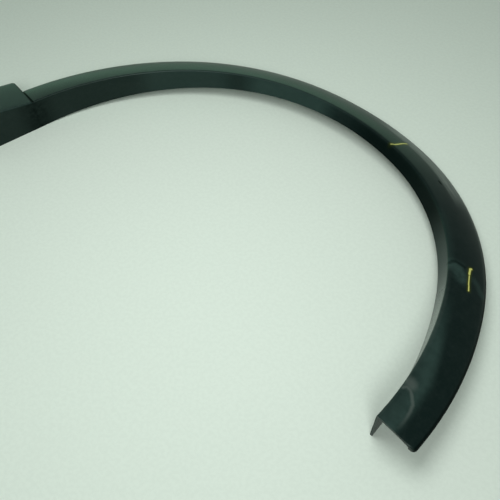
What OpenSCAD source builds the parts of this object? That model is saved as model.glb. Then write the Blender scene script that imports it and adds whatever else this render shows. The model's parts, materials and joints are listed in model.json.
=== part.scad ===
// Wheel arch trim: a curved plastic moulding with a wider end moulding lapped to it.
// Lies face up: X along the car, Y up the car, Z out of the car's side.
// Origin: centre of the crown arc of the wheel opening, at the height of the floor.

/* [Opening] */
// Radius of the crest over the crown
crown_r = 400; // [360:5:440]
// Angle that the crown arc spans
crown_a = 29; // [20:1:36]
// Radius of the left shoulder
shoulder_l_r = 356; // [320:2:390]
// Angle of the left shoulder
shoulder_l_a = 35.5; // [28:0.5:40]
// Radius of the left leg
leg_l_r = 380; // [340:5:420]
// Angle of the left leg
leg_l_a = 32.5; // [26:0.5:36]
// Radius of the right shoulder
shoulder_r_r = 286; // [260:2:320]
// Angle of the right shoulder
shoulder_r_a = 48; // [40:0.5:52]
// Radius of the right leg
leg_r_r = 426; // [380:2:460]
// Angle of the right leg
leg_r_a = 26; // [20:0.5:30]

/* [Section] */
// Width of the face from the crest to the outer edge
face_w = 51; // [47:0.5:60]
// Fall of the face over the crown
drop_mid = 34; // [30:0.5:38]
// Fall of the face at the left end
drop_l_end = 17; // [16:0.5:20]
// Fall of the face at the right end
drop_r_end = 16; // [15:0.5:20]
// How full the face is, from flat to round
crown_bulge = 0.24; // [0.12:0.02:0.3]
// Depth of the lip over the crown
lip_mid = 16; // [14:0.5:22]
// Depth of the lip at the left end
lip_l_end = 51.5; // [48:0.5:58]
// Depth of the lip at the right end
lip_r_end = 54; // [50:0.5:60]
// How far the lip leans into the opening over the crown
lean_mid = 10; // [6:0.5:12]
// How far the lip leans into the opening at the left end
lean_l_end = -2; // [-3:0.5:2]
// How far the lip leans into the opening at the right end
lean_r_end = 2; // [0:0.5:4]
// How late the section changes towards the left end, 1 being evenly
late_l = 1.4; // [1.2:0.1:2.2]
// How late the section changes towards the right end
late_r = 2; // [1.6:0.1:2.4]
// Wall of both mouldings
wall = 2.8; // [2.4:0.1:3]
// Height of the turned outer edge
edge_h = 6; // [5:0.5:7]
// Length of the rounding at the crest
crest_len = 5; // [4.5:0.1:6]
// Corner radius in plan at the moulding's ends
corner_r = 5; // [3:0.5:7]

/* [End moulding] */
// Length beyond the shut line
end_len = 88; // [76:1:110]
// Width of its face
end_w = 82; // [76:1:88]
// Plan corner radius beside the shut line
end_corner_r = 10; // [6:0.5:12]
// Angle at which its crest climbs away from the shut line
end_climb = 9.5; // [6:0.5:12]
// Gap at the shut line
shut_gap = 1.2; // [0.8:0.1:2]
// How far its tongue reaches under the arch
tongue_len = 22; // [20:0.5:26]
// Thickness of the tongue
tongue_t = 2.2; // [1.8:0.1:2.4]
// Clearance between the tongue and the arch
tongue_gap = 0.4; // [0.3:0.05:0.5]

/* [Clips] */
// Number of clips under the arch
clips = 9; // [7:1:10]
// Distance from the shut line to the first clip
clip_inset = 62; // [56:1:70]
// Distance of the clips out from the crest
clip_out = 16; // [15:0.5:17]
// Reach of a clip below the outer edge
clip_reach = 10; // [9:0.5:12]
// Radius of the plain shank that fits the panel hole
shank_r = 3.9; // [3.4:0.1:4.2]
// Length of that plain shank
shank_len = 3.2; // [2.8:0.1:3.6]
// Radius of the head held in the tower
head_r = 5.4; // [5.1:0.1:5.6]
// Radius of the neck in the keyhole
neck_r = 3; // [2.6:0.1:3.2]
// Radius of the flange that bears on the tower
flange_r = 7.5; // [7:0.1:8]
// Thickness of the sealing washer
washer_t = 1.6; // [1.2:0.1:1.8]
// Play of the clip in its tower
clip_play = 0.2; // [0.15:0.05:0.3]

/* [Joint screws] */
// Radius of the screw shank
screw_r = 1.9; // [1.6:0.1:2.1]
// Radius of the washer head
screw_head_r = 5; // [4.5:0.1:5.4]
// Radius of the boss that the screw is driven into
boss_r = 3.4; // [3.2:0.1:3.6]

/* [Hidden] */
$fn = 48;

black = [0.09, 0.1, 0.1];
rubber = [0.16, 0.16, 0.17];
foam = [0.22, 0.22, 0.22];
nylon = [0.78, 0.76, 0.7];
steel = [0.62, 0.63, 0.64];

// The plan: tangent arcs, by the angle a between the outward normal and +Y, clockwise positive
half = crown_a / 2;
left_side = [shoulder_l_r, shoulder_l_a, leg_l_r, leg_l_a];
right_side = [shoulder_r_r, shoulder_r_a, leg_r_r, leg_r_a];
left_a = -(half + shoulder_l_a + leg_l_a);
right_a = half + shoulder_r_a + leg_r_a;

function out_dir(a) = [sin(a), cos(a)];
function side(a) = a < 0 ? left_side : right_side;
function shoulder_c(a) = (crown_r - side(a)[0]) * out_dir(sign(a) * half);
function leg_c(a) = shoulder_c(a) + (side(a)[0] - side(a)[2]) * out_dir(sign(a) * (half + side(a)[1]));
function crest(a) =
    abs(a) <= half ? crown_r * out_dir(a)
    : abs(a) <= half + side(a)[1] ? shoulder_c(a) + side(a)[0] * out_dir(a)
    : leg_c(a) + side(a)[2] * out_dir(a);

// Distance along the crest from the middle of the crown, and back from distance to angle
deg = PI / 180;
function crown_run() = half * deg * crown_r;
function shoulder_run(a) = side(a)[1] * deg * side(a)[0];
function run(a) = sign(a) * (min(abs(a), half) * deg * crown_r
    + max(0, min(abs(a) - half, side(a)[1])) * deg * side(a)[0]
    + max(0, abs(a) - half - side(a)[1]) * deg * side(a)[2]);
function at_run(s) =
    let (m = abs(s), c = crown_run(), h = shoulder_run(s))
    sign(s) * (m <= c ? m / crown_r / deg
    : m <= c + h ? half + (m - c) / side(s)[0] / deg
    : half + side(s)[1] + (m - c - h) / side(s)[2] / deg);
left_run = run(left_a);
right_run = run(right_a);

// What the section is at an angle: the share of its change from the crown, 0 to 1, and the fall
// of the face, depth of the lip and lean of the lip that it changes to
left_end = [drop_l_end, lip_l_end, lean_l_end];
right_end = [drop_r_end, lip_r_end, lean_r_end];
function spread(a) = concat(a < 0 ? pow(run(a) / left_run, late_l) : pow(run(a) / right_run, late_r),
    a < 0 ? left_end : right_end);
function mixed(mid, end, q) = mid + (end - mid) * q;
crest_mid = drop_mid + clip_reach;
function crest_end(q) = q[2] + wall * max(0, q[3]) / norm([q[3], q[2]]);
function crest_z(q) = mixed(crest_mid, crest_end(q), q[0]);
function drop(q) = mixed(drop_mid, q[1], q[0]);
function panel_z(q) = crest_z(q) - drop(q);

// The section, as [distance out from the crest, height above the crest]
face_steps = 7;
edge_steps = 4;
edge_start = 0.86;
edge_turn = 0.7;
function bend(p, c, q, t) = (1 - t) * (1 - t) * p + 2 * t * (1 - t) * c + t * t * q;
function face_mid(w, h) = [w * (0.5 + crown_bulge / 2), -h * (0.5 - crown_bulge / 2)];
function face_at(w, h, t) = bend([0, 0], face_mid(w, h), [w, -h], t);
function lip_foot(q) = [-mixed(lean_mid, q[3], q[0]), -mixed(lip_mid, q[2], q[0])];
function unit(p) = p / norm(p);

// Outer skin from the turned edge over the face and crest to the foot of the lip
function skin(w, q) =
    let (h = drop(q) - edge_h, foot = lip_foot(q),
         crest_t = crest_len / norm(face_mid(w, h)) / 2,
         lip_p = crest_len * unit(foot))
    concat([[w, -h - edge_h]],
           [for (k = [edge_steps:-1:0])
               bend(face_at(w, h, edge_start), [w, -h], [w, -h - edge_h * edge_turn], k / edge_steps)],
           [for (k = [face_steps - 1:-1:1]) face_at(w, h, mixed(crest_t, edge_start, k / face_steps))],
           [for (k = [0:edge_steps]) bend(face_at(w, h, crest_t), [0, 0], lip_p, k / edge_steps)],
           [(lip_p + foot) / 2, foot]);

// The same skin moved in by t, square to itself
function turned(p) = [p[1], -p[0]];
function moved_in(s, t) =
    [for (k = [0:len(s) - 1])
        s[k] - t * turned(unit(s[min(k + 1, len(s) - 1)] - s[max(k - 1, 0)]))];
function backwards(s) = [for (k = [len(s) - 1:-1:0]) s[k]];
function section(w, q) = let (s = skin(w, q)) concat(s, backwards(moved_in(s, wall)));

// Stations of a loft: rings of points joined by triangles. Each flat end is a strip of triangles
// between the two halves of its ring, so that it covers the wall and not the hollow inside it
function ring(o, d, z, pts) = [for (p = pts) [o[0] + p[0] * d[0], o[1] + p[0] * d[1], z + p[1]]];
module loft(rings) {
    n = len(rings[0]);
    m = len(rings);
    last = (m - 1) * n;
    flat_end = [for (k = [0:n / 2 - 2]) each [[k, k + 1, n - 1 - k], [k + 1, n - 2 - k, n - 1 - k]]];
    polyhedron(points = [for (r = rings) each r],
        faces = concat(flat_end, [for (f = flat_end) [last + f[2], last + f[1], last + f[0]]],
            [for (k = [0:m - 2], i = [0:n - 1]) [k * n + i, (k + 1) * n + i, k * n + (i + 1) % n]],
            [for (k = [0:m - 2], i = [0:n - 1])
                [k * n + (i + 1) % n, (k + 1) * n + i, (k + 1) * n + (i + 1) % n]]));
}

// Width lost near an end, so that the outer corner is round in plan
function corner_cut(d, r) = d >= r ? 0 : r - sqrt(r * r - (r - d) * (r - d));
function arch_w(a) =
    face_w - corner_cut(run(a) - left_run, corner_r) - corner_cut(right_run - run(a), corner_r);

stations = 66;
corner_steps = 3;
corner_runs = [for (k = [0:corner_steps - 1]) corner_r * (1 - cos(90 * k / corner_steps))];
arch_runs = concat([for (c = corner_runs) left_run + c],
    [for (k = [0:stations]) mixed(left_run + corner_r, right_run - corner_r, k / stations)],
    [for (c = backwards(corner_runs)) right_run - c]);

// Stands at angle a on the crest: X along it, Y outwards
module at(a) {
    translate([crest(a)[0], crest(a)[1], 0]) rotate([0, 0, -a]) children();
}
// Stands beyond the shut line, s to the left of the arch's end
module beyond(s) {
    at(left_a) translate([-s, 0, 0]) children();
}
// Extrudes a [out, up] outline along the crest, about the middle of its thickness
module across(t) {
    rotate([90, 0, 90]) translate([0, 0, -t / 2]) linear_extrude(t) children();
}

// Height of the face above the floor at a distance out from the crest
straight = 0.001;
function face_z(w, q, r) =
    let (h = drop(q) - edge_h, c = face_mid(w, h), k = w - 2 * c[0],
         t = abs(k) < straight ? r / w : (-c[0] + sqrt(c[0] * c[0] + k * r)) / k)
    crest_z(q) + face_at(w, h, t)[1];

// A line under the face between two distances, a depth below the skin
line_steps = 4;
bond = 1;
function face_line(w, q, r0, r1, depth) =
    [for (k = [0:line_steps]) let (r = mixed(r0, r1, k / line_steps)) [r, face_z(w, q, r) - depth]];
function under_face(w, q, r0, r1, z, depth) =
    concat([[r1, z], [r0, z]], face_line(w, q, r0, r1, depth));

// Clip tower: a low housing with a keyhole in its floor, open on one side
plate_t = 1.8;
tower_wall = 1.6;
flange_t = 1.2;
head_t = 1.4;
over = 1;
function plate_z(q) = panel_z(q) + washer_t + flange_t + clip_play;
module tower(w, q, lift = 0) {
    inner = head_r + clip_play;
    outer = inner + tower_wall;
    slot = neck_r + clip_play;
    difference() {
        across(2 * outer)
            polygon(under_face(w, q, clip_out - outer, clip_out + outer, plate_z(q), wall - bond - lift));
        translate([tower_wall, 0, 0]) across(2 * outer)
            polygon(under_face(w, q, clip_out - inner, clip_out + inner, plate_z(q) + plate_t, wall - lift));
        translate([0, clip_out, plate_z(q) - over]) cylinder(h = plate_t + 2 * over, r = slot);
        translate([0, clip_out - slot, plate_z(q) - over]) cube([outer + over, 2 * slot, plate_t + 2 * over]);
    }
}

// Thin web in the corner between the face and the lip
web_t = 1.4;
web_out = 20;
web_depth = 0.8;
web_foot = 2;
function lip_r(q, z) = let (f = lip_foot(q)) f[0] * (z - crest_z(q)) / f[1];
module web(w, q) {
    z = max(crest_z(q) + lip_foot(q)[1] * web_depth, panel_z(q) + edge_h);
    r = lip_r(q, z) + wall;
    top = face_line(w, q, wall - bond, web_out, wall - bond);
    across(web_t) polygon(concat([[r - bond, z], [r + web_foot, z]], backwards(top)));
}

clip_runs = [for (k = [0:clips - 1])
    mixed(left_run + clip_inset, right_run - clip_inset, k / (clips - 1))];
web_runs = [for (k = [0:clips - 2]) (clip_runs[k] + clip_runs[k + 1]) / 2];

// Places where the joint screws stand square to the face, as [along from the shut line, out]
screw_spots = [[11, 14], [11, 31]];
reading = 0.5;
function slope(w, q, r) = atan((face_z(w, q, r + reading) - face_z(w, q, r - reading)) / reading / 2);
module on_face(spot) {
    a = at_run(left_run + spot[0]);
    q = spread(a);
    z = face_z(face_w, q, spot[1]);
    ahead = face_z(face_w, spread(at_run(left_run + spot[0] + reading)), spot[1]);
    at(a) translate([0, spot[1], z])
        rotate([slope(face_w, q, spot[1]), atan((z - ahead) / reading), 0]) children();
}
lap_depth = wall + tongue_gap + tongue_t;
module boss() {
    difference() {
        translate([0, 0, -lap_depth]) cylinder(h = tongue_gap + tongue_t + bond, r = boss_r);
        translate([0, 0, -lap_depth - over]) cylinder(h = tongue_t + tongue_gap + over, r = screw_r);
    }
}

module arch_moulding() {
    color(black) union() {
        loft([for (s = arch_runs) let (a = at_run(s), q = spread(a))
            ring(crest(a), out_dir(a), crest_z(q), section(arch_w(a), q))]);
        for (s = clip_runs) let (a = at_run(s)) at(a) tower(face_w, spread(a));
        for (s = web_runs) let (a = at_run(s)) at(a) web(face_w, spread(a));
        for (spot = screw_spots) on_face(spot) boss();
    }
}

// End moulding: the arch's crest and lip carried straight on, climbing, with a wider face
end_steps = 8;
end_q = spread(left_a);
lip_past = 2 * abs(lean_l_end);
climbed = end_len * tan(end_climb);
function end_corner(x, way, r) =
    [for (k = [0:end_steps]) let (t = 90 * k / end_steps)
        [x + way * r * cos(t), end_w - end_corner_r + r * sin(t)]];
function end_plan(inset, past) =
    let (r = end_corner_r - inset, y = end_w - end_corner_r,
         left = end_corner_r, right = end_len - end_corner_r)
    concat([[-past, -wall - lip_past], [end_len + past, -wall - lip_past]],
        past > 0 ? [[end_len + past, y]] : [],
        end_corner(right, 1, r), [[right, end_w + over], [left, end_w + over]],
        backwards(end_corner(left, -1, r)), past > 0 ? [[-past, y]] : []);

// Keeps what lies inside the end moulding's plan, with X from its far end to the shut line
module in_plan(inset, past) {
    beyond(shut_gap + end_len) intersection() {
        children();
        translate([0, 0, -2 * over])
            linear_extrude(crest_z(end_q) + climbed + 4 * over) polygon(end_plan(inset, past));
    }
}
// A prism along the end moulding that climbs away from the shut line
module climbing() {
    long = 2 * end_len;
    translate([end_len, 0, crest_z(end_q)]) rotate([0, end_climb, 0])
        translate([over * 4 - long / 2, 0, 0]) across(long) children();
}
// Skin of the end moulding, with both feet reaching further down than they are kept
function end_skin() =
    let (s = skin(end_w, end_q), foot = s[len(s) - 1])
    concat([s[0] - [0, climbed]], s, [foot * (1 + climbed / norm(foot))]);
wall_inset = 0.8;
module end_shell() {
    s = end_skin();
    m = moved_in(s, wall);
    last = len(s) - 1;
    down = [0, 2 * climbed];
    difference() {
        in_plan(0, 0) climbing() polygon(concat(s, [m[last], m[0]]));
        in_plan(wall, over) climbing() polygon(concat(m, [m[last] - down, m[0] - down]));
        below_foot();
    }
    difference() {
        in_plan(bond, 0) translate([wall_inset + wall / 2, 0, crest_z(end_q) + climbed])
            across(wall) polygon(moved_in(s, bond));
        below_foot();
    }
}
// What is cut away under the end moulding: below the floor, and below the panel behind the lip
module below_foot() {
    deep = 2 * climbed;
    beyond(shut_gap + end_len) translate([-over, 0, 0]) {
        translate([0, -end_w, -deep]) cube([end_len + 2 * over, 3 * end_w, deep]);
        translate([0, 3 * wall, -deep]) cube([end_len + 2 * over, 2 * end_w, deep + panel_z(end_q)]);
    }
}

// Tongue of two flat tabs that lap under the arch, and the rib that carries them
rib_t = 4;
rib_past = 0.8;
rib_s = shut_gap + rib_past + rib_t / 2;
rib_in = 7;
rib_out = 39;
tab_w = 12;
module tongue() {
    foot = face_line(face_w, end_q, rib_in, rib_out, lap_depth + rib_past);
    top = face_line(end_w, end_q, rib_in, rib_out, wall - bond - rib_s * tan(end_climb));
    difference() {
        union() {
            for (spot = screw_spots) on_face(spot)
                translate([-spot[0] - rib_s, -tab_w / 2, -lap_depth])
                    cube([rib_s + tongue_len, tab_w, tongue_t]);
            beyond(rib_s) across(rib_t) polygon(concat(backwards(foot), top));
        }
        for (spot = screw_spots) on_face(spot)
            translate([0, 0, -2 * lap_depth]) cylinder(h = 2 * lap_depth, r = boss_r + tongue_gap);
    }
}

end_clip_s = shut_gap + end_len / 2;
module end_moulding() {
    color(black) union() {
        end_shell();
        tongue();
        beyond(end_clip_s) tower(end_w, end_q, end_clip_s * tan(end_climb));
    }
}

// Soft foam seals between the faces and the body, just inside the turned edge
seal_w = 5;
seal_clear = 0.1;
seal_up = 0.5;
seal_ends = 4;
seal_steps = 3;
function seal_outline(w, q) =
    let (r1 = w - wall - seal_clear, r0 = r1 - seal_w)
    concat([[r1, panel_z(q) + seal_up], [r0, panel_z(q) + seal_up]],
        [for (k = [0:seal_steps])
            let (r = mixed(r0, r1, k / seal_steps)) [r, under_z(w, q, r) - seal_clear]]);
// Height of the inner skin at a distance out, read along its own straight pieces
function under_z(w, q, r) =
    let (s = moved_in(skin(w, q), wall),
         k = [for (i = [0:len(s) - 2]) if (s[i][0] >= r && s[i + 1][0] < r) i],
         i = k[len(k) - 1], f = (s[i][0] - r) / (s[i][0] - s[i + 1][0]))
    crest_z(q) + mixed(s[i][1], s[i + 1][1], f);
module arch_edge_seal() {
    color(foam) loft([for (k = [0:stations])
        let (s = mixed(left_run + tongue_len + seal_ends, right_run - corner_r - seal_ends, k / stations),
             a = at_run(s), q = spread(a))
        ring(crest(a), out_dir(a), 0, seal_outline(face_w, q))]);
}
module end_edge_seal() {
    color(foam) beyond(shut_gap + end_len / 2) across(end_len - 2 * end_corner_r - seal_ends)
        polygon(seal_outline(end_w, end_q));
}

// Push-in clip: head in the tower, neck in the keyhole, flange, plain shank and barbed tip
barbs = 3;
barb_step = (clip_reach - shank_len) / barbs;
barb_out = 0.25;
barb_lead = 0.3;
barb_peak = 0.7;
barb_back = 0.85;
barb_rise = 0.5;
core_r = 2.6;
root_r = 1.6;
tip_r = 1;
relief = 0.3;
rim_t = 0.8;
head_bevel = 0.4;
slot_w = 1;
slot_end = 0.6;
function barb(k, z) =
    [[root_r + barb_rise * k, z + barb_lead], [shank_r + barb_out, z + barb_peak * barb_step],
     [core_r, z + barb_back * barb_step]];
function clip_outline(q) =
    let (z = panel_z(q), tip = z - clip_reach, flange_z = z + washer_t, rim_z = flange_z + rim_t,
         neck_z = flange_z + flange_t, head_z = plate_z(q) + plate_t + clip_play / 2, top = head_z + head_t)
    concat([[0, tip], [tip_r, tip]],
        [for (k = [0:barbs - 1]) each barb(k, tip + k * barb_step)],
        [[core_r, z - shank_len], [shank_r, z - shank_len], [shank_r, z], [shank_r - relief, z]],
        [[shank_r - relief, flange_z], [flange_r, flange_z], [flange_r, rim_z], [neck_r + rim_t, neck_z]],
        [[neck_r, neck_z], [neck_r, head_z], [head_r, head_z], [head_r, top - head_bevel]],
        [[head_r - head_bevel, top], [0, top]]);
module clip(q) {
    tip = panel_z(q) - clip_reach;
    color(nylon) difference() {
        rotate_extrude() polygon(clip_outline(q));
        for (turn = [0, 90]) rotate([0, 0, turn]) translate([-flange_r, -slot_w / 2, tip - over])
            cube([2 * flange_r, slot_w, over + barbs * barb_step - slot_end]);
    }
}
washer_rim = 0.8;
washer_bevel = 1;
module clip_washer(q) {
    z = panel_z(q);
    inner = shank_r - relief / 2;
    outer = flange_r + washer_rim;
    color(rubber) rotate_extrude() polygon([[inner, z], [outer, z], [outer, z + washer_t / 2],
        [outer - washer_bevel, z + washer_t], [inner, z + washer_t]]);
}
module at_clip(k) {
    if (k < clips) {
        a = at_run(clip_runs[k]);
        at(a) translate([0, clip_out, 0]) children();
    } else beyond(end_clip_s) translate([0, clip_out, 0]) children();
}
function clip_spread(k) = k < clips ? spread(at_run(clip_runs[k])) : end_q;

// Washer-head screw that clamps the tongue to a boss
screw_head_t = 1.4;
hex_r = 2.9;
hex_t = 1.8;
hex_sides = 6;
screw_tip = 0.6;
screw_fit = 0.05;
module joint_screw(spot) {
    half_t = screw_head_t / 2;
    color(steel) on_face(spot) translate([0, 0, -lap_depth]) {
        translate([0, 0, -screw_head_t]) cylinder(h = screw_head_t, r = screw_head_r);
        translate([0, 0, -screw_head_t - hex_t]) cylinder(h = hex_t + half_t, r = hex_r, $fn = hex_sides);
        translate([0, 0, -half_t])
            cylinder(h = half_t + tongue_t + tongue_gap - screw_tip, r = screw_r - screw_fit);
    }
}

arch_moulding();
end_moulding();
arch_edge_seal();
end_edge_seal();
for (k = [0:clips]) {
    at_clip(k) clip(clip_spread(k));
    at_clip(k) clip_washer(clip_spread(k));
}
joint_screw(screw_spots[0]);  // joint_screw_1
joint_screw(screw_spots[1]);  // joint_screw_2
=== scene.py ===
# A black wheel arch trim with a wider end moulding, lying face up on a pale floor.
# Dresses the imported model: smooth grained skins over both mouldings, and a finish for every small piece.
import json
import math
import bmesh
import bpy
import numpy as np
from mathutils import Matrix, Vector


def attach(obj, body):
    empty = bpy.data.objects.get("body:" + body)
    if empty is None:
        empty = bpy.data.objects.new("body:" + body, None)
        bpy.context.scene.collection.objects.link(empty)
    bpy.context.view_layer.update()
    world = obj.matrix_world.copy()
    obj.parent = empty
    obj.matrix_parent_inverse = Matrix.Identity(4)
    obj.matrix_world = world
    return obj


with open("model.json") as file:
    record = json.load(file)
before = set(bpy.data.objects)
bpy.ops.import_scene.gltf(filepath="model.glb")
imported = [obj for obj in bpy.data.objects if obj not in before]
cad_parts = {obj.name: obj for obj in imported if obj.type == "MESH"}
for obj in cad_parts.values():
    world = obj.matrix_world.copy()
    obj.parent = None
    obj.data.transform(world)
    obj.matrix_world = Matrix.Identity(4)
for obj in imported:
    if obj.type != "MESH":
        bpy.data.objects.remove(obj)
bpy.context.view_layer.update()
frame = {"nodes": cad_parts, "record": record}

scene = bpy.context.scene


# shader helpers
class Sock:  # wraps one shader socket, so that plain expressions add Math nodes
    def __init__(self, tree, link):
        self.tree, self.link = tree, link

    def plug(self, target, value):
        if isinstance(value, Sock):
            self.tree.links.new(value.link, target)
        else:
            target.default_value = value

    def add(self, kind, settings=None, inputs=None, out=0):  # any node: type, settings, socket values
        node = self.tree.nodes.new(kind)
        for name, value in (settings or {}).items():
            setattr(node, name, value)
        for key, value in (inputs or {}).items():
            self.plug(node.inputs[key], value)
        return Sock(self.tree, node.outputs[out])

    def math(self, operation, *others, clamp=False):
        return self.add("ShaderNodeMath", {"operation": operation, "use_clamp": clamp},
                        dict(enumerate((self,) + others)))

    def vec(self, operation, *others, out=0):
        return self.add("ShaderNodeVectorMath", {"operation": operation},
                        dict(enumerate((self,) + others)), out)

    def __add__(self, other):
        return self.math("ADD", other)

    def __sub__(self, other):
        return self.math("SUBTRACT", other)

    def __rsub__(self, other):
        return self * -1.0 + other

    def __mul__(self, other):
        return self.math("MULTIPLY", other)

    __radd__, __rmul__ = __add__, __mul__

    def length(self):
        return self.vec("LENGTH", out=1)

    def smaller(self, other):
        return self.math("MINIMUM", other)

    def larger(self, other):
        return self.math("MAXIMUM", other)

    def held(self):  # the value kept between 0 and 1
        return self.math("ADD", 0.0, clamp=True)

    def step(self, low, high, first=0.0, last=1.0):  # smooth change from first to last between low and high
        return self.add("ShaderNodeMapRange", {"interpolation_type": "SMOOTHSTEP"},
                        {"Value": self, "From Min": low, "From Max": high, "To Min": first, "To Max": last})

    def mixed(self, first, second):  # first where this mask is 0, second where it is 1
        return self.add("ShaderNodeMix", {"data_type": "RGBA"}, {0: self, 6: first, 7: second}, 2)

    def noise(self, scale, detail=3.0, rough=0.55, stretch=(1, 1, 1)):
        place = self.vec("MULTIPLY", stretch)
        return self.add("ShaderNodeTexNoise", None,
                        {"Vector": place, "Scale": scale, "Detail": detail, "Roughness": rough})

    def cells(self, scale):
        return self.add("ShaderNodeTexVoronoi", {"feature": "SMOOTH_F1"},
                        {"Vector": self, "Scale": scale, "Smoothness": 0.6})


def startMaterial(name):  # a new material, its shader and its place socket in metres
    material = bpy.data.materials.new(name)
    material.use_nodes = True
    tree = material.node_tree
    shader = tree.nodes["Principled BSDF"]
    place = tree.nodes.new("ShaderNodeTexCoord").outputs["Object"]
    return material, shader, Sock(tree, place)


def finish(node, place, values):  # sets a node's sockets by name to plain values or sockets
    for key, value in values.items():
        place.plug(node.inputs[key], value)


def relief(place, height, depth):  # a bump from a height socket, depth in metres
    return place.add("ShaderNodeBump", None, {"Height": height, "Distance": depth, "Strength": 1.0})


def nearLine(place, start, end):  # distance from the line between two points, in the first two coordinates
    start, end = Vector((start[0], start[1], 0)), Vector((end[0], end[1], 0))
    along = end - start
    away = place.vec("MULTIPLY", (1, 1, 0)).vec("SUBTRACT", tuple(start))
    share = away.vec("DOT_PRODUCT", tuple(along / along.length_squared), out=1).held()
    reach = place.add("ShaderNodeVectorMath", {"operation": "SCALE"}, {0: tuple(along), "Scale": share})
    return away.vec("SUBTRACT", reach).length()


def nearPath(place, points):  # distance from the nearest part of a path
    reach = nearLine(place, points[0], points[1])
    for first, second in zip(points[1:], points[2:]):
        reach = reach.smaller(nearLine(place, first, second))
    return reach


def around(value, middle, reach, amount):  # the amount close to the middle, falling softly to 0 at the reach
    return (value - middle).math("ABSOLUTE").step(reach * 0.5, reach, amount, 0.0)


# the arch's plan and section
plan = {  # tangent arcs as the part has them, metres and degrees
    "crownR": 0.400, "crownA": 29.0,
    "left": (0.356, 35.5, 0.380, 32.5),  # radius and angle of the shoulder, then of the leg
    "right": (0.286, 48.0, 0.426, 26.0),
}
section = {
    "faceW": 0.051, "wall": 0.0028, "edgeH": 0.006, "cornerR": 0.005,
    "crestLen": 0.0028, "bulge": 0.24,  # length of the rounded crest, and how far the face bows
    "edgeStart": 0.86, "edgeTurn": 0.7,  # share of the face, and of the edge's height, where its bend ends
    "clipReach": 0.010,  # how far the clips hold the crown off the panel
    "crown": (0.034, 0.016, 0.010),  # fall of the face, depth of the lip, lean of the lip
    "leftEnd": (0.017, 0.0515, -0.002), "rightEnd": (0.016, 0.054, 0.002),
    "leftLate": 1.4, "rightLate": 2.0,  # how late the section changes on the way to each end
}
skin = {
    "over": 0.00018,  # how far the skins lie outside the part
    "lipJoin": 0.00048,  # how far each lip reaches into the joint, to leave a hairline there
    "stations": 420, "faceSteps": 18, "edgeSteps": 9, "lipSteps": 5, "cornerSteps": 8,
    "sharpAngle": 28.0,  # degrees between faces from which an edge is drawn sharp
}
half = plan["crownA"] / 2
leftA = -(half + plan["left"][1] + plan["left"][3])
rightA = half + plan["right"][1] + plan["right"][3]


def outDir(a):  # the way out from the opening at an angle, 0 at the crown and positive to the right
    return np.array([math.sin(math.radians(a)), math.cos(math.radians(a))])


def crest(a):  # the crest's place in plan at an angle
    way = 1 if a > 0 else -1
    shoulderR, shoulderA, legR, _ = plan["right" if a > 0 else "left"]
    if abs(a) <= half:
        return plan["crownR"] * outDir(a)
    middle = (plan["crownR"] - shoulderR) * outDir(way * half)
    if abs(a) <= half + shoulderA:
        return middle + shoulderR * outDir(a)
    return middle + (shoulderR - legR) * outDir(way * (half + shoulderA)) + legR * outDir(a)


def run(a):  # length along the crest from the middle of the crown
    shoulderR, shoulderA, legR, _ = plan["right" if a > 0 else "left"]
    crownPart = min(abs(a), half) * plan["crownR"]
    shoulderPart = max(0, min(abs(a) - half, shoulderA)) * shoulderR
    legPart = max(0, abs(a) - half - shoulderA) * legR
    return math.copysign(math.radians(crownPart + shoulderPart + legPart), a)


leftRun, rightRun = run(leftA), run(rightA)


def atRun(s):  # the angle at a length along the crest
    low, high = (leftA - 2, 0.0) if s < 0 else (0.0, rightA + 2)
    for _ in range(48):
        middle = (low + high) / 2
        low, high = (middle, high) if run(middle) < s else (low, middle)
    return (low + high) / 2


def between(first, last, q):
    return first + (last - first) * q


def shapeAt(a):  # crest height, fall of the face, depth of the lip and lean of the lip
    if a < 0:
        share, end = (run(a) / leftRun) ** section["leftLate"], section["leftEnd"]
    else:
        share, end = (run(a) / rightRun) ** section["rightLate"], section["rightEnd"]
    crown = section["crown"]
    crestEnd = end[1] + section["wall"] * max(0, end[2]) / math.hypot(end[2], end[1])
    return (between(crown[0] + section["clipReach"], crestEnd, share),
            *(between(crown[k], end[k], share) for k in range(3)))


def bend(p, c, q, t):  # a point of the curve from p to q that leans toward c
    return (1 - t) ** 2 * np.array(p) + 2 * t * (1 - t) * np.array(c) + t * t * np.array(q)


def skinLine(width, shape):  # [out, up] from the turned edge by the crest to the lip's foot
    edgeH = section["edgeH"]
    faceSteps, edgeSteps, lipSteps = skin["faceSteps"], skin["edgeSteps"], skin["lipSteps"]
    fall = shape[1] - edgeH
    middle = (width * (0.5 + section["bulge"] / 2), -fall * (0.5 - section["bulge"] / 2))
    foot = np.array([-shape[3], -shape[2]])
    crestT = section["crestLen"] / math.hypot(*middle) / 2
    lipTop = section["crestLen"] * foot / np.linalg.norm(foot)

    def face(t):
        return bend((0, 0), middle, (width, -fall), t)

    start = section["edgeStart"]
    turn = (width, -fall - edgeH * section["edgeTurn"])
    points = [np.array([width, -fall - edgeH])]
    points += [bend(face(start), (width, -fall), turn, 1 - k / edgeSteps) for k in range(edgeSteps + 1)]
    points += [face(between(crestT, start, 1 - k / faceSteps)) for k in range(1, faceSteps)]
    points += [bend(face(crestT), (0, 0), lipTop, k / edgeSteps) for k in range(edgeSteps + 1)]
    points += [between(lipTop, foot, (k + 1) / lipSteps) for k in range(lipSteps)]
    return np.array(points)


def movedIn(line, depth):  # the same line moved in square to itself
    ahead = np.vstack([line[1:], line[-1:]])
    behind = np.vstack([line[:1], line[:-1]])
    along = ahead - behind
    along /= np.linalg.norm(along, axis=1)[:, None]
    return line - depth * np.stack([along[:, 1], -along[:, 0]], axis=1)


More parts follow.
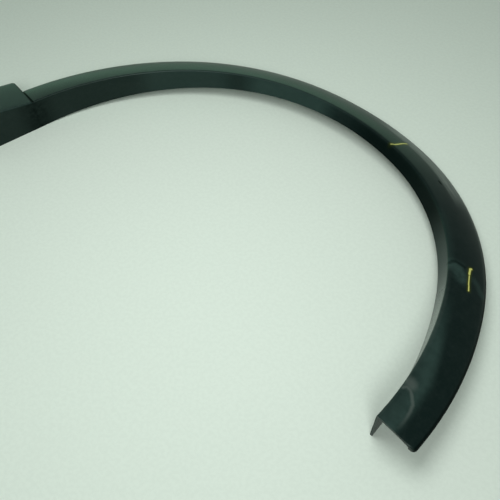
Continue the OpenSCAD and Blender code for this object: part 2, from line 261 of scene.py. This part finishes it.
# meshes
def newPiece(name, points, faces, material, spots=None):  # a mesh object, smooth up to the skin's sharp angle
    mesh = bpy.data.meshes.new(name)
    mesh.from_pydata([tuple(p) for p in points], [], faces)
    mesh.validate()
    form = bmesh.new()
    form.from_mesh(mesh)
    bmesh.ops.recalc_face_normals(form, faces=form.faces)
    form.to_mesh(mesh)
    form.free()
    mesh.shade_smooth()
    mesh.set_sharp_from_angle(angle=math.radians(skin["sharpAngle"]))
    piece = bpy.data.objects.new(name, mesh)
    scene.collection.objects.link(piece)
    mesh.materials.append(material)
    if spots is not None:
        mesh.attributes.new("spot", "FLOAT_VECTOR", "POINT").data.foreach_set("vector", np.ravel(spots))
    return piece


def ringFaces(rings, size):  # a tube of rings, its ends closed between the outer and the inner line
    faces = []
    last = (rings - 1) * size
    for k in range(size // 2 - 1):
        a, b, c, d = k, k + 1, size - 2 - k, size - 1 - k
        faces += [(a, b, c, d), (last + d, last + c, last + b, last + a)]
    for k in range(rings - 1):
        for i in range(size):
            j = (i + 1) % size
            faces.append((k * size + i, (k + 1) * size + i, (k + 1) * size + j, k * size + j))
    return faces


def skinSection(line):  # the closed outline of the wall, a little larger than the part's own
    for end, beside in ((0, 1), (-1, -2)):
        past = line[end] - line[beside]
        line[end] = line[end] + past / np.linalg.norm(past) * skin["over"]
    outer = movedIn(line, -skin["over"])
    inner = movedIn(line, section["wall"] + skin["over"])
    return np.vstack([outer, inner[::-1]])


def spotsOf(s, line):  # where a section's points are: length along, distance out, and lip share (-1 inside)
    count = len(line)
    side = np.where(np.arange(count) < count // 2, lipShare(line), -1.0)
    return np.stack([np.full(count, s), line[:, 0], side], axis=1)


def lipShare(line):  # 0 on the face, 1 down the lip, for each point of a section
    return np.clip(-line[:, 1] / section["crestLen"], 0, 1) * (line[:, 0] < section["crestLen"])


def cornerLoss(d, r):  # width lost to a rounded plan corner, d in from the end
    return 0.0 if d >= r else r - math.sqrt(max(0.0, r * r - (r - d) ** 2))


def runsWithCorners(start, end, r, middleSteps):  # where the rings stand, closer at the rounded corners
    corner = [r * (1 - math.cos(math.pi / 2 * k / skin["cornerSteps"])) for k in range(skin["cornerSteps"])]
    middle = np.linspace(start + r, end - r, middleSteps)
    return [start + c for c in corner] + list(middle) + [end - c for c in reversed(corner)]


def standing(line, place, d, push, high):  # a section's points in space, its lip pushed along the crest
    along = np.array([d[1], -d[0]])
    flat = place + line[:, :1] * d + push * lipShare(line)[:, None] * along
    return np.column_stack([flat, high + line[:, 1]])


def archSkin(material):
    r = section["cornerR"]
    rings, spots = [], []
    for s in runsWithCorners(leftRun - skin["over"], rightRun + skin["over"], r, skin["stations"]):
        a = atRun(s)
        shape = shapeAt(a)
        width = section["faceW"] - cornerLoss(s - leftRun + skin["over"], r)
        width -= cornerLoss(rightRun - s + skin["over"], r)
        line = skinSection(skinLine(width, shape))
        push = 0.0 if rings else -skin["lipJoin"]
        rings.append(standing(line, crest(a), outDir(a), push, shape[0]))
        spots.append(spotsOf(s, line))
    faces = ringFaces(len(rings), len(rings[0]))
    return newPiece("arch_skin", np.vstack(rings), faces, material, spots=np.vstack(spots))


endPiece = {"length": 0.088, "width": 0.082, "cornerR": 0.010, "gap": 0.0012, "climb": 9.5, "stations": 24}


def endSkin(material):  # the arch's end carried straight on and climbing, cut off level at both feet
    r, width = endPiece["cornerR"], endPiece["width"]
    d = outDir(leftA)
    back = np.array([-d[1], d[0]])  # the way on past the arch's left end
    origin = crest(leftA)
    length, over = endPiece["length"], skin["over"]
    shape = shapeAt(leftA)
    climb = math.radians(endPiece["climb"])
    full = skinLine(width, shape) / (1, math.cos(climb))
    lipSteps, rings, spots = skin["lipSteps"], [], []
    for s in runsWithCorners(-over, length + over, r, endPiece["stations"]):
        high = shape[0] + (endPiece["gap"] + s) * math.tan(climb)
        line = full.copy()
        line[0, 1] = shape[0] - shape[1] - high  # the turned edge reaches the panel, the lip the floor
        for k in range(lipSteps):
            down = between(full[-lipSteps - 1, 1], -high, (k + 1) / lipSteps)
            line[-lipSteps + k] = full[-1] * down / full[-1, 1]
        widest = width - cornerLoss(s + over, r) - cornerLoss(length + over - s, r)
        line[:, 0] = np.minimum(line[:, 0], widest)
        line = skinSection(line)
        push = 0.0 if rings else skin["lipJoin"]
        rings.append(standing(line, origin + (endPiece["gap"] + s) * back, d, push, high))
        spots.append(spotsOf(leftRun - endPiece["gap"] - s, line))
    faces = ringFaces(len(rings), len(rings[0]))
    return newPiece("end_skin", np.vstack(rings), faces, material, spots=np.vstack(spots))


# black grained moulding
blackFinish = {
    "colour": (0.0008, 0.0062, 0.0056, 1), "dustColour": (0.020, 0.030, 0.027, 1),
    # the first colour below is for painted reflections on the faces and the lip, and for the real scuff; the
    # pale colour is for real scratches, the rim's painted reflection and chafing, and the lip's painted
    # reflection
    "scuffAndReflectionColour": (0.020, 0.042, 0.036, 1), "paleColour": (0.150, 0.180, 0.160, 1),
    # the dull colour where painted shade and real grime lie
    "grimeAndShadeColour": (0.0005, 0.0025, 0.0020, 1),
    "roughness": 0.26, "level": 0.26, "index": 1.49, "tint": (0.76, 1.0, 0.88, 1),
    "grain": 2100.0, "grainDepth": 0.00005,
    "cloud": (14.0, 4.0), "fine": (130.0, 4.0),  # noises: scale and detail
    "speck": (420.0, 2.0), "streaks": (260.0, 4.0),
}
pen = {  # a paint marker's strokes; places are (length along the crest, distance out) in metres
    "yellow": (0.54, 0.55, 0.15, 1), "halo": (0.030, 0.040, 0.002, 1), "haloAmount": 0.75,
    "shake": 0.0010, "scale": 240.0, "edge": (0.55, 1.35), "roughness": 0.12,
    "strokes": (  # path, half the stroke's width and half the halo's
        (((0.0765, 0.0010), (0.0793, 0.0060), (0.0798, 0.0135), (0.0793, 0.0219), (0.0805, 0.0292)),
         0.0010, 0.0065),
        (((0.2990, 0.0299), (0.2990, 0.0280), (0.3082, 0.0271), (0.3199, 0.0268), (0.3305, 0.0276)),
         0.0008, 0.0045),
        (((0.2990, 0.0299), (0.2996, 0.0282), (0.3072, 0.0272)),
         0.0013, 0.0030),
    ),
}
marks = {  # wear along a path: how far noise moves it and at what scale, where it fades, and its strength
    "scuffEdge": {"shake": 0.0012, "scale": 180.0, "fade": (0.0003, 0.0038), "amount": 0.55, "path": (
        (0.3006, 0.0012), (0.2970, 0.0048), (0.2959, 0.0100), (0.2977, 0.0152), (0.3002, 0.0205))},
    "scuff": {"shake": 0.007, "scale": 110.0, "fade": (0.001, 0.015), "amount": 1.0, "path": (
        (0.3020, 0.0060), (0.3035, 0.0120), (0.3110, 0.0160), (0.3170, 0.0180))},
    "arc": {"shake": 0.004, "scale": 150.0, "fade": (0.0004, 0.0060), "amount": 0.45, "path": (
        (0.3136, 0.0340), (0.3191, 0.0396), (0.3255, 0.0428), (0.3290, 0.0459))},
    "scratch": {"shake": 0.0016, "scale": 190.0, "fade": (0.0002, 0.0032), "amount": 1.0, "path": (
        (0.4888, 0.0024), (0.4851, 0.0053), (0.4858, 0.0096), (0.4912, 0.0154),
        (0.4983, 0.0207), (0.5065, 0.0229), (0.5170, 0.0240), (0.5283, 0.0245))},
    "smear": {"shake": 0.006, "scale": 90.0, "fade": (0.001, 0.0110), "amount": 0.27, "path": (
        (0.4790, 0.0030), (0.4800, 0.0075))},
    "nick": {"shake": 0.0, "scale": 90.0, "fade": (0.0003, 0.0016), "amount": 0.9, "path": (
        (0.1585, 0.0248), (0.1639, 0.0257))},
}
areas = {  # painted highlights near the crest, painted reflections on the lip, and the rim's painted reflection and chafing, about a place along the crest: its middle and reach in metres, and its strength
    "crownHighlight": (-0.200, 0.250, 0.7), "sideHighlight": (0.255, 0.060, 0.6), "rim": (0.112, 0.100, 1.0),
    "crownLipReflection": (-0.115, 0.095, 0.7), "leftLipReflection": (-0.290, 0.090, 0.4),
}
ramps = {  # what changes from one place to another, in metres, and its strength at each
    "lowReflection": (0.330, 0.430, 0.0, 1.0), "crestHighlight": (0.001, 0.012, 0.5, 0.0),
    "lowReflectionEdge": (-0.008, 0.005, 1.0, 0.0), "lowReflectionInner": (-0.030, -0.006, 0.40, 1.0),
    "endReflection": (-0.005, -0.001, 1.0, 0.0), "rightLipReflection": (0.190, 0.270, 0.0, 0.3),
    "scratch": (0.498, 0.532, 0.28, 0.04), "rim": (0.0265, 0.0330, 0.0, 1.0),
    "lipReflectionFrom": (0.280, 0.385, 0.0, 1.0), "lipReflectionTo": (0.395, 0.510, 1.0, 0.0),
    "darkFrom": (-0.030, 0.050, 0.0, 0.72), "darkTo": (0.195, 0.285, 1.0, 0.0),
    "darkEnd": (0.500, 0.530, 0.0, 0.6), "slit": (0.0010, 0.0026, 0.8, 0.0),
    "lapShade": (-0.004, 0.040, 1.0, 0.0), "darkEdge": (0.215, 0.300, 0.0, 0.8),
    "darkEdgeOut": (0.0472, 0.0500, 0.0, 1.0),
}
mottles = {  # how noise breaks up dust, wear, the marker, painted shade and painted reflection: from and to in the noise's own values, and the strength at each
    "cloudDust": (0.42, 0.72, 0.0, 0.12), "fineDust": (0.38, 0.75, 0.0, 0.12),
    "specks": (0.40, 0.70, 0.0, 0.10), "scuff": (0.30, 0.62, 0.45, 0.95),
    "rim": (0.30, 0.66, 0.30, 0.72), "stroke": (0.20, 0.55, 0.80, 1.0), "lapShade": (0.25, 0.75, 0.30, 0.80),
}
slant = {"from": (0.392, 0.0130), "to": (0.470, 0.0262)}  # the outer edge of the low leg's painted reflection band


def startMoulding():  # the material, its shader, and the sockets that the wear is drawn with
    f = blackFinish
    material, shader, place = startMaterial("mouldingBlack")
    spot = place.add("ShaderNodeAttribute", {"attribute_name": "spot"}, None, 1)
    along, out, side = (spot.vec("DOT_PRODUCT", way, out=1) for way in ((1, 0, 0), (0, 1, 0), (0, 0, 1)))
    lip = side.held()
    return material, shader, {
        "place": place, "spot": spot, "along": along, "out": out, "shut": along - leftRun,
        "lip": lip, "face": 1.0 - lip, "outside": side.step(-0.6, -0.1),
        "cloud": place.noise(*f["cloud"]), "fine": place.noise(*f["fine"]),
        "speck": place.noise(*f["speck"]), "streaks": spot.noise(*f["streaks"], stretch=(0.16, 1, 0)),
    }


def nearShaken(at, path, size, scale):  # distance from a path, moved about by noise for an uneven edge
    place = at["place"]
    noise = place.add("ShaderNodeTexNoise", None, {"Vector": place, "Scale": scale, "Detail": 3.0}, 1)
    shift = noise.vec("SUBTRACT", (0.5, 0.5, 0.5)).vec("MULTIPLY", (size, size, 0))
    return nearPath(at["spot"].vec("ADD", shift), path)


def markMask(at, name):  # one of the marks, 0 to its amount
    mark = marks[name]
    reach = nearShaken(at, mark["path"], mark["shake"], mark["scale"])
    return reach.step(*mark["fade"], mark["amount"], 0.0)


def scuffAndReflectionMask(at):  # painted reflections, lighter and greyer, on the low leg, the crest's side, the end moulding and the lip; and the real scuff
    along, out, fine, cloud = (at[name] for name in ("along", "out", "fine", "cloud"))
    # painted reflection: a lighter band on the low leg, bounded by a slanted outer edge
    edge = along.add("ShaderNodeMapRange", None, {
        "Value": along, "From Min": slant["from"][0], "From Max": slant["to"][0],
        "To Min": slant["from"][1], "To Max": slant["to"][1],
    })
    beyond = out - edge
    low = beyond.step(*ramps["lowReflectionEdge"]) * beyond.step(*ramps["lowReflectionInner"]) * along.step(*ramps["lowReflection"])
    low = low * (fine * 0.7 + cloud * 0.4 + 0.28)
    # painted highlight along the crest, on the crown and on the crest's side
    crown = around(along, *areas["crownHighlight"]) + around(along, *areas["sideHighlight"])
    crown = crown * out.step(*ramps["crestHighlight"])
    # painted reflection over the whole end moulding, mottled
    end = at["shut"].step(*ramps["endReflection"]) * (fine * 0.5 + cloud * 0.4)
    onFace = (low + crown + end) * at["face"]
    rubbed = markMask(at, "scuff") * fine.step(*mottles["scuff"]) + markMask(at, "arc")
    # painted reflections on the lip
    onLip = around(along, *areas["crownLipReflection"]) + around(along, *areas["leftLipReflection"])
    onLip = (onLip + along.step(*ramps["rightLipReflection"])) * at["lip"]
    return onFace + rubbed + onLip * (fine * 0.4 + 0.8)


def paleMask(at):  # the scratch and the smear on the low leg, and the pale rim beyond the first stroke: partly a painted reflection on the turned edge, partly real chafing streaks
    along = at["along"]
    scratch = markMask(at, "scratch") * along.step(*ramps["scratch"])
    # the rim: painted reflection along the turned edge, broken into streaks of real chafing
    rim = at["out"].step(*ramps["rim"]) * around(along, *areas["rim"])
    rim = rim * at["streaks"].step(*mottles["rim"])
    return scratch.larger(markMask(at, "smear")).larger(rim) * at["outside"] * at["face"]


def lipReflectionMask(at):  # painted reflection on the low leg's lip, drawn pale, where the lip is also made smoother
    along = at["along"]
    return along.step(*ramps["lipReflectionFrom"]) * along.step(*ramps["lipReflectionTo"]) * at["lip"] * at["outside"]


def grimeAndShadeMask(at):  # painted shade that takes the sheen away: on the lip, at the joint and on the rim; and real grime by the scuff and at the nick
    along, lip, shut = at["along"], at["lip"], at["shut"].math("ABSOLUTE")
    # painted shade on the lip, from the crown to the right shoulder and at the right end
    onLip = along.step(*ramps["darkFrom"]) * along.step(*ramps["darkTo"]) + along.step(*ramps["darkEnd"])
    # painted shade along the joint's gap
    slit = shut.step(*ramps["slit"]) * at["face"]
    # painted shade at the lap joint, mottled
    lapShade = shut.step(*ramps["lapShade"]) * lip * at["fine"].step(*mottles["lapShade"])
    # painted shade over the low leg's outer edge, hiding its highlight
    edge = along.step(*ramps["darkEdge"]) * at["out"].step(*ramps["darkEdgeOut"])
    grimeAndShade = (onLip * lip).larger(slit).larger(lapShade).larger(edge)
    grimeAndShade = grimeAndShade.larger(markMask(at, "scuffEdge")).larger(markMask(at, "nick"))
    return (grimeAndShade * at["outside"]).held()


def addStrokes(at, colour, rough):  # the marker's strokes with their halos, over a colour and a roughness
    inner, outer = pen["edge"]
    for path, halfWidth, halfHalo in pen["strokes"]:
        reach = nearShaken(at, path, pen["shake"], pen["scale"])
        halo = reach.step(halfWidth, halfHalo, pen["haloAmount"], 0.0) * at["outside"]
        body = reach.step(halfWidth * inner, halfWidth * outer, 1.0, 0.0) * at["outside"]
        body = body * at["streaks"].step(*mottles["stroke"])
        colour = body.mixed(halo.mixed(colour, pen["halo"]), pen["yellow"])
        rough = rough + body * pen["roughness"]
    return colour, rough


def blackMoulding():
    f = blackFinish
    material, shader, at = startMoulding()
    place, fine, cloud = at["place"], at["fine"], at["cloud"]
    dust = cloud.step(*mottles["cloudDust"]) + fine.step(*mottles["fineDust"])
    dust = dust + at["speck"].step(*mottles["specks"])
    # painted reflections and the real scuff, drawn lighter and rougher
    scuffAndReflection = scuffAndReflectionMask(at)
    wearAndSheen = lipReflectionMask(at)
    colour = dust.held().mixed(f["colour"], f["dustColour"])
    colour = (scuffAndReflection * at["outside"]).held().mixed(colour, f["scuffAndReflectionColour"])
    colour = paleMask(at).mixed(colour, f["paleColour"])
    # the low leg's lip: painted reflection, pale
    colour = (wearAndSheen * (fine * 0.45 + 0.22)).mixed(colour, f["paleColour"])
    rough = cloud * 0.10 + fine * 0.06 + scuffAndReflection.held() * 0.10 + f["roughness"]
    colour, rough = addStrokes(at, colour, rough * (1.0 - wearAndSheen * 0.5))

    grain = place.cells(f["grain"]) * 0.6 + place.noise(f["grain"] * 0.6, 2.0) * 0.5
    relieved = relief(place, grain, f["grainDepth"])
    finish(shader, place, {
        "Base Color": colour, "Roughness": rough, "Specular IOR Level": f["level"], "IOR": f["index"],
        "Specular Tint": f["tint"], "Normal": relieved,
    })
    tree = material.node_tree
    glossy = Sock(tree, shader.outputs[0])
    # a dull dark diffuse mixed in over painted shade and real grime
    dull = place.add("ShaderNodeBsdfDiffuse", None, {"Color": f["grimeAndShadeColour"], "Normal": relieved})
    both = place.add("ShaderNodeMixShader", None, {0: grimeAndShadeMask(at), 1: glossy, 2: dull})
    tree.links.new(both.link, tree.nodes["Material Output"].inputs["Surface"])
    return material


# small pieces
smallFinish = {
    "foam": {"colour": (0.030, 0.030, 0.031, 1), "pale": (0.060, 0.060, 0.061, 1), "rough": 0.92,
             "scale": 1500.0, "depth": 0.00025, "glow": 0.0},
    "rubber": {"colour": (0.020, 0.020, 0.022, 1), "pale": (0.050, 0.050, 0.052, 1), "rough": 0.66,
               "scale": 1800.0, "depth": 0.00005, "glow": 0.0},
    "nylon": {"colour": (0.60, 0.57, 0.49, 1), "pale": (0.72, 0.70, 0.63, 1), "rough": 0.42,
              "scale": 900.0, "depth": 0.00004, "glow": 0.12},
    "zinc": {"colour": (0.46, 0.47, 0.46, 1), "pale": (0.66, 0.66, 0.62, 1), "rough": 0.20,
             "scale": 600.0, "turned": 500.0, "depth": 0.00002},
}


def softMaterial(name, look):
    material, shader, place = startMaterial(name)
    patches = place.noise(look["scale"] * 0.05, 4.0)
    fine = place.noise(look["scale"], 2.0)
    finish(shader, place, {
        "Base Color": (patches.step(0.35, 0.7) * 0.6 + fine * 0.3).held().mixed(look["colour"], look["pale"]),
        "Roughness": patches * 0.12 + (look["rough"] - 0.06),
        "Normal": relief(place, fine + place.cells(look["scale"] * 0.7) * 0.5, look["depth"]),
        "Subsurface Weight": look["glow"], "Subsurface Scale": 0.002,
    })
    return material


def steelMaterial(look):
    material, shader, place = startMaterial("screwZinc")
    patches = place.noise(look["scale"], 4.0)
    turned = place.noise(look["turned"], 2.0, stretch=(1, 1, 9))  # fine rings round the screw's own axis
    finish(shader, place, {
        "Base Color": patches.step(0.3, 0.7).mixed(look["colour"], look["pale"]),
        "Metallic": 1.0,
        "Roughness": patches * 0.14 + turned * 0.08 + look["rough"],
        "Normal": relief(place, turned, look["depth"]),
    })
    return material


# floor, light and camera
floorLook = {
    "colour": (0.660, 0.757, 0.671, 1), "wearAndSheen": (0.628, 0.722, 0.639, 1), "rough": 0.57, "size": 9.0,
    "patches": 1.6, "weave": 210.0, "grain": 240.0,  # scales
    "depth": 0.00006,  # of the grain, in metres
}


def pieceOfFloor():
    material, shader, place = startMaterial("floorPale")
    patches = place.noise(floorLook["patches"], 4.0).step(0.3, 0.7)
    weave = place.noise(floorLook["weave"], 3.0).step(0.35, 0.65)
    finish(shader, place, {
        "Base Color": (patches * 0.25 + weave * 0.75).mixed(floorLook["colour"], floorLook["wearAndSheen"]),
        "Roughness": patches * 0.10 + floorLook["rough"],
        "Normal": relief(place, place.noise(floorLook["grain"], 3.0), floorLook["depth"]),
    })
    s, low = floorLook["size"] / 2, -skin["over"]
    corners = [(-s, -s, low), (s, -s, low), (s, s, low), (-s, s, low)]
    newPiece("floor", corners, [(0, 1, 2, 3)], material)


def areaLamp(name, place, target, size, watts):
    light = bpy.data.lights.new(name, "AREA")
    light.shape, light.size, light.energy = "DISK", size, watts
    lamp = bpy.data.objects.new(name, light)
    lamp.location = place
    lamp.rotation_euler = (Vector(target) - Vector(place)).to_track_quat("-Z", "Y").to_euler()
    scene.collection.objects.link(lamp)


view = {  # where the photograph was taken from, in metres and degrees
    "place": (0.46788, -0.22463, 0.72651), "turn": 49.10, "down": 52.46, "roll": -3.39,
    "focal": 48.63, "sensor": 36.0,  # millimetres
    "nearest": 0.02, "farthest": 40.0,
}


def photoCamera():
    camera = bpy.data.objects.new("camera", bpy.data.cameras.new("camera"))
    camera.data.lens, camera.data.sensor_width = view["focal"], view["sensor"]
    camera.data.clip_start, camera.data.clip_end = view["nearest"], view["farthest"]
    level = Matrix.Rotation(math.radians(view["turn"]), 4, "Z")
    tip = Matrix.Rotation(math.radians(90 - view["down"]), 4, "X")
    roll = Matrix.Rotation(math.radians(view["roll"]), 4, "Z")
    camera.matrix_world = Matrix.Translation(view["place"]) @ level @ tip @ roll
    scene.collection.objects.link(camera)
    scene.camera = camera


room = {  # the walls' light, and the brighter far wall low down
    "colour": (0.93, 1.0, 0.95, 1), "strength": 0.26, "farColour": (0.52, 1.0, 0.69, 1), "farWall": 1.3,
    "farWay": (-0.94, 0.34, 0.0), "farSide": (0.35, 0.85), "farHeight": (0.06, 0.34), "farTint": 1.6,
}
lamps = (  # name, place, target, size and watts
    ("ceilingBox", (0.012, 0.080, 0.80), (0.012, 0.080, 0.0), 0.6, 3.85),
    ("frontBox", (1.55, -1.35, 1.95), (0.0, 0.1, 0.0), 1.1, 31.0),
)


def studio():
    world = bpy.data.worlds.new("room")
    world.use_nodes = True
    tree = world.node_tree
    way = Sock(tree, tree.nodes.new("ShaderNodeTexCoord").outputs["Generated"])
    high = way.vec("DOT_PRODUCT", (0, 0, 1), out=1)
    facing = way.vec("DOT_PRODUCT", room["farWay"], out=1)
    wall = high.step(*room["farHeight"], 1.0, 0.0) * facing.step(*room["farSide"])
    finish(tree.nodes["Background"], way, {
        "Color": (wall * room["farTint"]).held().mixed(room["colour"], room["farColour"]),
        "Strength": wall * room["farWall"] + room["strength"],
    })
    scene.world = world
    for lamp in lamps:
        areaLamp(*lamp)
    scene.view_settings.view_transform = "Standard"


# putting it together
print("materials")
blackMaterial = blackMoulding()
finishes = {
    "black_moulding": blackMaterial,
    "foam_seal": softMaterial("foamSeal", smallFinish["foam"]),
    "washer_rubber": softMaterial("washerRubber", smallFinish["rubber"]),
    "clip_nylon": softMaterial("nylonNatural", smallFinish["nylon"]),
    "screw_steel": steelMaterial(smallFinish["zinc"]),
}
slotOf = {s["node"]: s["material_slot"] for s in frame["record"]["subparts"]}
for name, node in frame["nodes"].items():
    node.data.materials.clear()
    node.data.materials.append(finishes[slotOf[name]])

print("mouldings")
for piece in (archSkin(blackMaterial), endSkin(blackMaterial)):
    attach(piece, "root")

print("floor, light and camera")
pieceOfFloor()
studio()
photoCamera()
